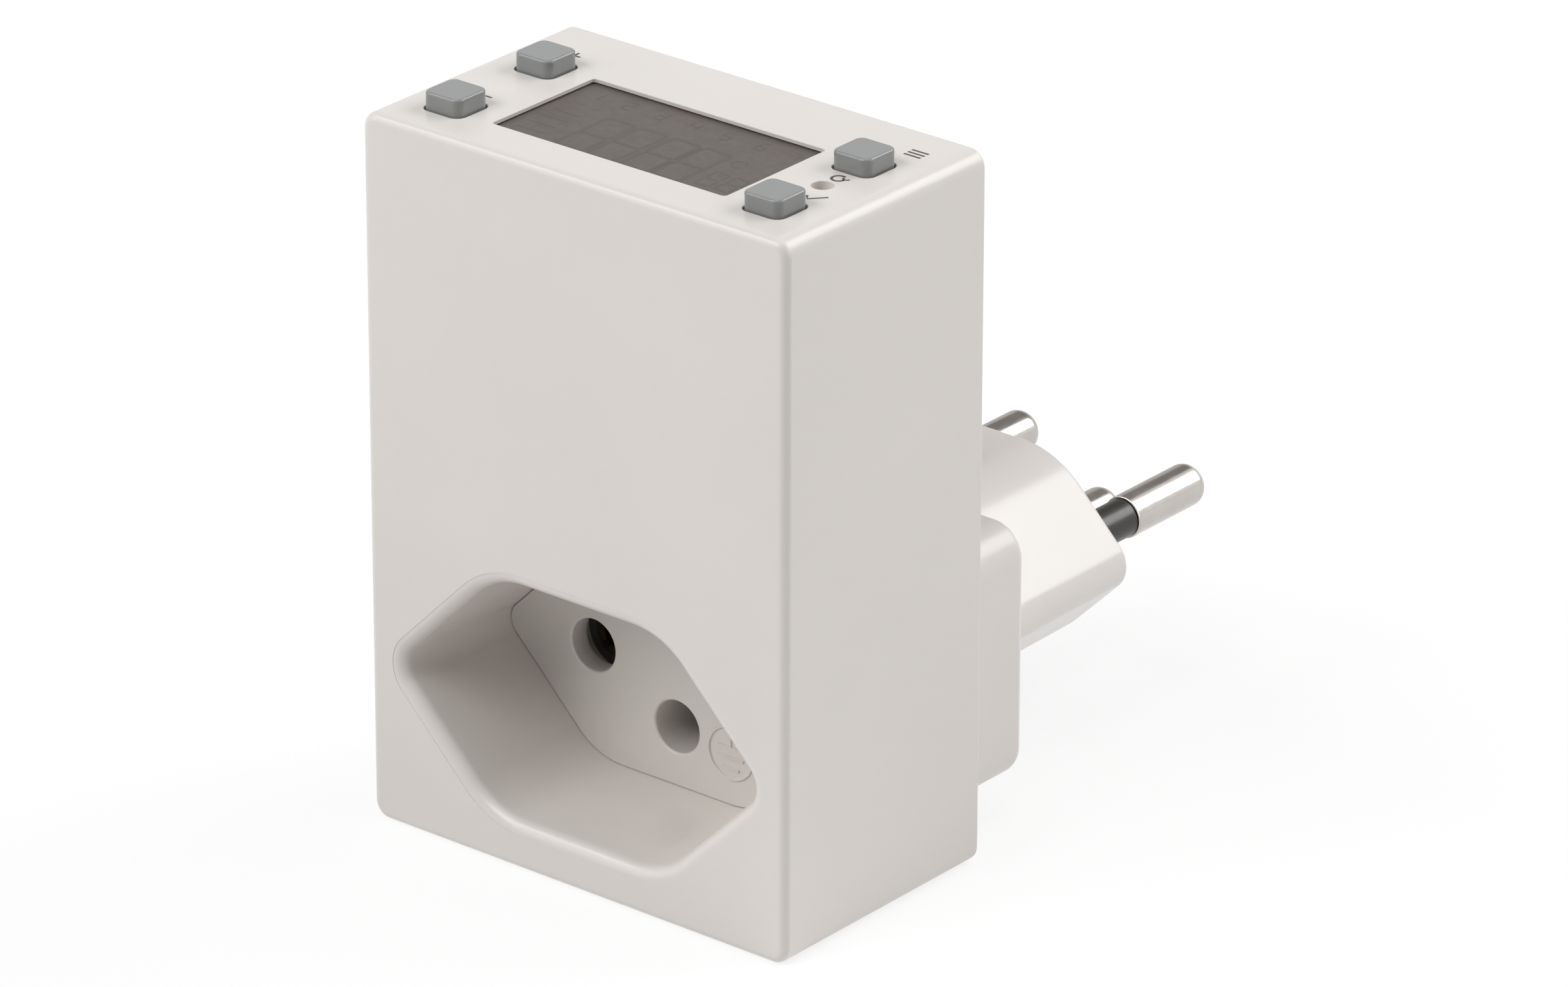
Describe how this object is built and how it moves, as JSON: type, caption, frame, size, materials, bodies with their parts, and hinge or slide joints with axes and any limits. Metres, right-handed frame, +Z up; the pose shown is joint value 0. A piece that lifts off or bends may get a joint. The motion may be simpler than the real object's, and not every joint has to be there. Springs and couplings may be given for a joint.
{
  "type": "plug in timer switch",
  "caption": "Plug-in timer switch: upright case with a recessed three-hole socket in front, a three-pin plug behind, and a display, push keys and a reset pin on top.",
  "frame": {"origin": "centre of the flat base of the case, midway between its front and back faces and its two sides", "axes": "+X to the right seen from the socket side, +Y from the socket to the plug pins, +Z up to the display"},
  "size_m": [0.0466, 0.0749, 0.068],
  "materials": {
    "case_plastic": "fine satin moulded plastic, warm off-white",
    "plug_plastic": "smooth glossy moulded plastic, white",
    "inner_plastic": "plain moulded plastic",
    "pin_nickel": "bright nickel plated brass",
    "sleeve_plastic": "black insulating sleeve",
    "contact_brass": "stamped brass sheet",
    "board_laminate": "green solder resist on glass fibre laminate",
    "relay_plastic": "moulded blue case",
    "lead_tin": "tinned leads",
    "film_cap_plastic": "potted yellow box",
    "component_black": "moulded black",
    "varistor_lacquer": "dipped blue lacquer",
    "resistor_lacquer": "pale green lacquer",
    "cell_steel": "nickel plated steel can",
    "lcd_glass": "thin display glass",
    "lcd_film": "grey polarising film, semi gloss",
    "lcd_reflector": "matt reflective film",
    "strip_rubber": "layered conductive rubber",
    "switch_steel": "small pressed switch body",
    "key_plastic": "smooth blue-grey plastic",
    "screw_zinc": "zinc plated steel"
  },
  "bodies": {
    "case": {"front_housing": "case_plastic", "socket_insert": "case_plastic", "rear_cover": "case_plastic", "plug_body": "plug_plastic", "live_pin": "pin_nickel", "neutral_pin": "pin_nickel", "earth_pin": "pin_nickel", "live_pin_sleeve": "sleeve_plastic", "neutral_pin_sleeve": "sleeve_plastic", "contact_carrier": "component_black", "live_contact": "contact_brass", "neutral_contact": "contact_brass", "earth_contact": "contact_brass", "live_input_strap": "contact_brass", "neutral_link": "contact_brass", "earth_link": "contact_brass", "main_board": "board_laminate", "relay_case": "relay_plastic", "relay_terminals": "lead_tin", "film_capacitor": "film_cap_plastic", "smoothing_capacitor": "component_black", "varistor": "varistor_lacquer", "rectifier": "component_black", "fuse_resistor": "resistor_lacquer", "backup_cell": "cell_steel", "backup_cell_tabs": "lead_tin", "board_link_pins": "lead_tin", "display_board": "board_laminate", "controller_chip": "component_black", "clock_crystal": "cell_steel", "lcd_front_glass": "lcd_glass", "lcd_rear_glass": "lcd_glass", "lcd_front_film": "lcd_film", "lcd_reflector": "lcd_reflector", "lcd_holder": "inner_plastic", "front_contact_strip": "strip_rubber", "rear_contact_strip": "strip_rubber", "key_switch_bodies": "switch_steel", "reset_switch_body": "switch_steel", "case_screws": "screw_zinc", "display_board_screws": "screw_zinc"},
    "minus_key": {"minus_key": "key_plastic", "minus_key_plunger": "component_black"},
    "plus_key": {"plus_key": "key_plastic", "plus_key_plunger": "component_black"},
    "menu_key": {"menu_key": "key_plastic", "menu_key_plunger": "component_black"},
    "confirm_key": {"confirm_key": "key_plastic", "confirm_key_plunger": "component_black"},
    "reset_pin": {"reset_pin": "case_plastic", "reset_plunger": "component_black"}
  },
  "joints": [
    {"name": "minus_key_press", "type": "slide", "parent": "case", "child": "minus_key", "axis": [0, 0, -1], "range_m": [0, 0.0004], "stiffness_N_per_m": 1500, "springref_m": -0.0002},
    {"name": "plus_key_press", "type": "slide", "parent": "case", "child": "plus_key", "axis": [0, 0, -1], "range_m": [0, 0.0004], "stiffness_N_per_m": 1500, "springref_m": -0.0002},
    {"name": "menu_key_press", "type": "slide", "parent": "case", "child": "menu_key", "axis": [0, 0, -1], "range_m": [0, 0.0004], "stiffness_N_per_m": 1500, "springref_m": -0.0002},
    {"name": "confirm_key_press", "type": "slide", "parent": "case", "child": "confirm_key", "axis": [0, 0, -1], "range_m": [0, 0.0004], "stiffness_N_per_m": 1500, "springref_m": -0.0002},
    {"name": "reset_pin_press", "type": "slide", "parent": "case", "child": "reset_pin", "axis": [0, 0, -1], "range_m": [0, 0.0003], "stiffness_N_per_m": 1500, "springref_m": -0.0002}
  ]
}
